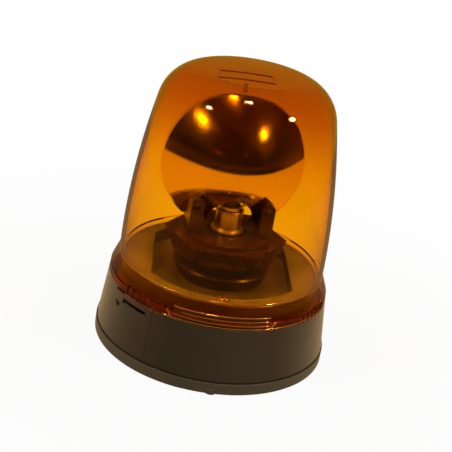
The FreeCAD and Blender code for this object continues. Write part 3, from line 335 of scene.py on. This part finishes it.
def make_materials():
    """The record's slots and a few finishes of this script's own, by name."""
    return {
        "housing_plastic": moulded("housing_satin",
                                   (0.019, 0.0100, 0.0055), (0.029, 0.0160, 0.0090),
                                   0.42, 1500.0, 0.00004, sheen=0.85, specular=0.20),
        "deck_plastic": moulded("deck_gloss", (0.090, 0.108, 0.150), (0.150, 0.170, 0.225),
                                0.18, 900.0, 0.00002, tint=deck_painted_shade),
        "amber_lens": amber(),
        "amber_glint": amber_glint(),
        "black_rubber": moulded("foot_rubber", (0.066, 0.047, 0.027), (0.088, 0.064, 0.037),
                                0.56, 2200.0, 0.00006, sheen=0.5, specular=0.3),
        "shadow_black": moulded("shadow_black", (0.006, 0.004, 0.003), (0.010, 0.007, 0.005),
                                0.85, 1500.0, 0.00004, specular=0.1),
        "black_plastic": moulded("black_gloss", (0.016, 0.0055, 0.0025), (0.028, 0.0100, 0.0045),
                                 0.26, 1100.0, 0.00002, specular=0.45),
        "gear_plastic": moulded("gear_nylon", (0.018, 0.014, 0.010), (0.028, 0.022, 0.016),
                                0.5, 1400.0, 0.00003),
        "reflector_chrome": mirror(),
        "blackened": metal("blackened_steel", (0.030, 0.026, 0.022), (0.055, 0.048, 0.040), 0.42),
        "steel": metal("zinc_steel", (0.50, 0.50, 0.49), (0.68, 0.67, 0.65), 0.28),
        "brass": metal("turned_brass", (0.62, 0.44, 0.19), (0.80, 0.62, 0.31), 0.24),
        "holder_nickel": metal("nickel_plate", (0.56, 0.48, 0.38), (0.74, 0.66, 0.54), 0.36,
                               (1.0, 1.0, 14.0), 500.0),
        "bulb_clear": bulb_glass(),
        "tungsten": metal("tungsten_wire", (0.20, 0.19, 0.18), (0.34, 0.33, 0.31), 0.40),
        "lead_insulation": moulded("lead_pvc", (0.20, 0.010, 0.008), (0.28, 0.018, 0.014),
                                   0.38, 1800.0, 0.00002),
    }


OWN_FINISHES = {"reflector_rivets": "blackened", "bracket_screws": "blackened"}


def dress(materials):
    """Gives each CAD node the material of its slot in the record, or a finish of its own."""
    for part in frame["record"]["subparts"]:
        node = part["node"]
        data = frame["nodes"][node].data
        data.materials.clear()
        data.materials.append(materials[OWN_FINISHES.get(node, part["material_slot"])])


# ---- small fittings -------------------------------------------------------------------------
def circle_point(radius, angle, height):
    """A point round the object's axis: angle 0 is the front, and angles grow towards +X."""
    return Vector((radius * math.sin(angle), -radius * math.cos(angle), height))


def arc(radius, height, first, last, steps, climb=0.0):
    """Points round the object's axis between two azimuths in degrees, climbing on the way."""
    shares = [k / steps for k in range(steps + 1)]
    return [circle_point(radius, math.radians(first + (last - first) * share),
                         height + climb * share) for share in shares]


def ring(radius, height, count):
    """Points all round the object's axis, for a closed bead."""
    step = 360.0 / count
    return arc(radius, height, 0.0, 360.0 - step, count - 1)


def tube(points, wire, closed, sides=12):
    """A round bead along points that lie nearly level: its vertices and its faces."""
    verts, faces = [], []
    count = len(points)
    for i, here in enumerate(points):
        if closed:
            ahead = (points[(i + 1) % count] - points[i - 1]).normalized()
        else:
            ahead = (points[min(i + 1, count - 1)] - points[max(i - 1, 0)]).normalized()
        out = ahead.cross(Vector((0.0, 0.0, 1.0))).normalized()
        up = out.cross(ahead)
        for k in range(sides):
            a = 2.0 * math.pi * k / sides
            verts.append(here + wire * (math.cos(a) * out + math.sin(a) * up))
    for i in range(count if closed else count - 1):
        here, after = i * sides, ((i + 1) % count) * sides
        for k in range(sides):
            beside = (k + 1) % sides
            faces.append((here + k, after + k, after + beside, here + beside))
    if not closed:
        faces.append(tuple(range(sides)))
        faces.append(tuple(reversed(range((count - 1) * sides, count * sides))))
    return verts, faces


def add_bead(name, points, wire, closed, material, body):
    """A round bead as a piece that rides on a body."""
    mesh = bpy.data.meshes.new(name)
    verts, faces = tube(points, wire, closed)
    mesh.from_pydata(verts, [], faces)
    mesh.update()
    mesh.polygons.foreach_set("use_smooth", [True] * len(mesh.polygons))
    mesh.materials.append(material)
    obj = bpy.data.objects.new(name, mesh)
    bpy.context.scene.collection.objects.link(obj)
    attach(obj, body)
    return obj


def add_eyelets(material):
    """The raised rims round the two pips on the deck."""
    for side, azimuth in (("left", -19.0), ("right", 19.0)):
        centre = circle_point(62.2 * MM, math.radians(azimuth), DECK_TOP + 0.2 * MM)
        turns = [2.0 * math.pi * k / 40 for k in range(40)]
        points = [centre + 2.4 * MM * Vector((math.cos(t), math.sin(t), 0.0)) for t in turns]
        add_bead("pip_rim_" + side, points, 0.5 * MM, True, material, "base")


# beads of the part-metal amber, which give the lens's edges painted glints
# name: inset from the skirt, height above its foot, first and last azimuth, steps, radius
LENS_GLINT_BEADS = {
    "panel_top": (0.2, 8.9, -24.6, 24.6, 50, 0.28),
    "panel_line": (0.1, 6.0, -20.0, 24.6, 46, 0.24),
    "panel_low": (0.1, 3.1, -24.6, 24.6, 50, 0.24),
    "rim_right": (0.1, 0.9, -30.0, 120.0, 150, 0.28),
}


def add_lens_glint_beads(material):
    """Fine part-metal beads on the lens that give it painted glints: round the shoulder, along
    the rim and across the panel.
    """
    for name, (inset, height, first, last, steps, wire) in LENS_GLINT_BEADS.items():
        points = arc(SKIRT_R - inset * MM, LENS_FOOT + height * MM, first, last, steps)
        add_bead("bead_" + name, points, wire * MM, False, material, "lens")
    for side, sign in (("left", -1.0), ("right", 1.0)):
        ramp = arc(SKIRT_R, LENS_FOOT + 0.8 * MM, sign * 25.4, sign * 28.0, 8, climb=4.4 * MM)
        add_bead("panel_ramp_" + side, ramp, 0.6 * MM, False, material, "lens")
    shoulder = ring(SKIRT_R - 4.9 * MM, LENS_FOOT + 16.3 * MM, 180)
    add_bead("bead_shoulder", shoulder, 0.22 * MM, True, material, "lens")


def add_foot_gap_shadow(material):
    """A black ring as a painted shadow in the gap where the rubber foot's lip meets the housing.
    """
    add_bead("foot_line", ring(79.35 * MM, 8.55 * MM, 240), 0.45 * MM, True, material,
             "base")


def add_spring(material):
    """The contact spring, which the bulb squeezes when pressed down, as a smooth coil of fixed
    height in place of the CAD's spring.
    """
    low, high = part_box("contact_spring")
    wire, turns, steps, travel = 0.35 * MM, 6, 32, 2.0 * MM
    radius, height = high[0] - wire, high[2] - low[2]
    bottom, rise = low[2] + wire, height - 2.0 * wire
    points = []
    for k in range(turns * steps + 1):
        a = 2.0 * math.pi * k / steps
        points.append(Vector((radius * math.cos(a), radius * math.sin(a),
                              bottom + rise * k / (turns * steps))))
    coil = add_bead("spring_coil", points, wire, False, material, "base")
    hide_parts("contact_spring")
    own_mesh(coil)


# ---- studio ---------------------------------------------------------------------------------
def add_world():
    """White where it is seen; a dim room with a pale backdrop for what lights and mirrors."""
    world = bpy.data.worlds.new("studio")
    world.use_nodes = True
    bpy.context.scene.world = world
    w = Nodes(world.node_tree, "ShaderNodeOutputWorld")
    seen = w.node("ShaderNodeBackground")
    seen.inputs["Color"].default_value = (*WHITE, 1.0)
    seen.inputs["Strength"].default_value = 1.0
    room = w.node("ShaderNodeBackground")
    back = w.axis_share("Y", -0.3, 0.6, "Generated")
    w.link(w.mix(back, (0.020, 0.016, 0.011), (0.46, 0.27, 0.018)), room.inputs["Color"])
    w.link(w.spread(w.past_one_wall(), 1.0, 0.30, 0.0, 1.0), room.inputs["Strength"])
    w.two_surfaces(w.straight_ray(), room, seen)


FLOOR_R = 0.62
FLOOR_DROP = 0.0004     # below the foot, so that the two don't touch
FLOOR_FADE = (0.12, 0.40)   # distances between which the object's shadow fades to plain white


def add_floor():
    """A round sheet of pale paper under the lamp, white where it is seen."""
    bm = bmesh.new()
    bmesh.ops.create_circle(bm, cap_ends=True, segments=96, radius=FLOOR_R)
    mesh = bpy.data.meshes.new("floor")
    bm.to_mesh(mesh)
    bm.free()
    floor = bpy.data.objects.new("floor", mesh)
    floor.location = (0.0, 0.0, -FLOOR_DROP)
    bpy.context.scene.collection.objects.link(floor)
    s = Shader("paper")
    paper = s.principled(Roughness=0.8, Specular_IOR_Level=0.2)
    s.link(s.mix(s.noise(8.0, 2.0), (0.34, 0.335, 0.325), (0.38, 0.375, 0.365)),
           paper.inputs["Base Color"])
    straight = s.straight_ray()
    colour = s.node("ShaderNodeMix", data_type="RGBA")
    colour.inputs[7].default_value = (*WHITE, 1.0)
    s.link(straight, colour.inputs[0])
    s.link(s.mix(s.past_one_wall(), (0.22, 0.165, 0.10), (1.0, 0.74, 0.20)), colour.inputs[6])
    glow = s.node("ShaderNodeEmission")
    glow.inputs["Strength"].default_value = 1.0
    s.link(colour.outputs[2], glow.inputs["Color"])
    share = s.node("ShaderNodeMix", data_type="FLOAT")
    s.link(straight, share.inputs[0])
    s.link(s.path("Is Glossy Ray"), share.inputs[2])
    s.link(s.spread(s.length(s.coords()), 0.94, 1.0, *FLOOR_FADE), share.inputs[3])
    s.two_surfaces(share.outputs[0], paper, glow)
    mesh.materials.append(s.material)


AIM = (0.0, 0.0, 0.12)      # the middle of the lamp, which the soft boxes face

# name: azimuth, elevation, distance, size, power
LAMPS = {
    "lamp_left": (-63.0, 42.0, 1.1, (0.11, 0.12), 7.5),
    "lamp_right": (67.0, 41.0, 1.1, (0.11, 0.13), 7.5),
    "lamp_top": (-4.0, 87.0, 1.2, (0.13, 0.08), 5.0),
}


def add_lamps():
    """Three soft boxes."""
    for name, (azimuth, elevation, distance, size, power) in LAMPS.items():
        a, e = math.radians(azimuth), math.radians(elevation)
        out = circle_point(math.cos(e), a, math.sin(e))
        data = bpy.data.lights.new(name, "AREA")
        data.shape = "RECTANGLE"
        data.size, data.size_y = size
        data.energy = power
        lamp = bpy.data.objects.new(name, data)
        lamp.matrix_world = (Matrix.Translation(Vector(AIM) + distance * out)
                             @ out.to_track_quat("Z", "Y").to_matrix().to_4x4())
        bpy.context.scene.collection.objects.link(lamp)


add_camera()
materials = make_materials()
dress(materials)
add_eyelets(materials["deck_plastic"])
add_lens_glint_beads(materials["amber_glint"])
add_foot_gap_shadow(materials["shadow_black"])
add_spring(materials["steel"])
add_world()
add_floor()
add_lamps()

view = bpy.context.scene.view_settings
view.view_transform = "Standard"
